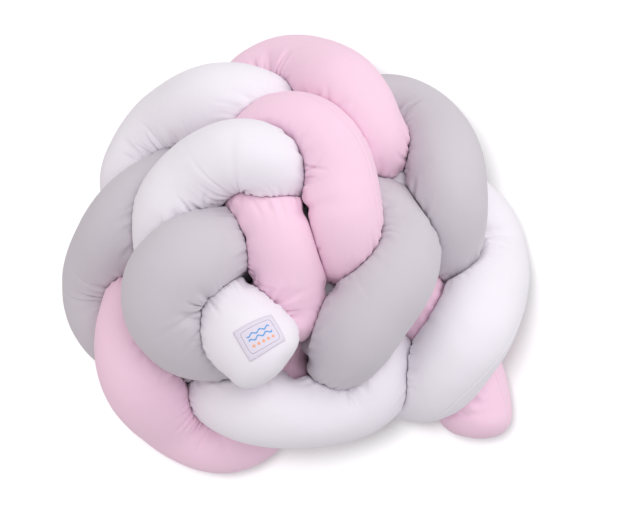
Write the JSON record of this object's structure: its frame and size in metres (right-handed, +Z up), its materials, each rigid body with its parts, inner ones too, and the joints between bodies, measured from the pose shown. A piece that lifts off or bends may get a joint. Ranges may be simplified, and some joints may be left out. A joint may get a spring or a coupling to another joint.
{
  "type": "knotted crib bumper",
  "caption": "Soft crib bumper of stuffed white, grey and pink cotton tubes plaited together and coiled up into a round knot, with a small woven tag that bears a plain printed pattern.",
  "frame": {"origin": "middle of the footprint, on the surface that the knot lies on", "axes": "+Z up, out of the surface; +X to the right and +Y to the back, seen from above with the tag at the front of the top"},
  "size_m": [0.5101, 0.4801, 0.2391],
  "materials": {
    "white_jersey": "matt fine cotton cloth",
    "grey_jersey": "matt fine cotton cloth",
    "pink_jersey": "matt fine cotton cloth",
    "tag_ribbon": "woven ribbon with a faint sheen and a small printed pattern"
  },
  "bodies": {
    "root": {"white_tube": "white_jersey", "grey_tube": "grey_jersey", "pink_tube": "pink_jersey", "sewn_tag": "tag_ribbon"}
  },
  "joints": []
}
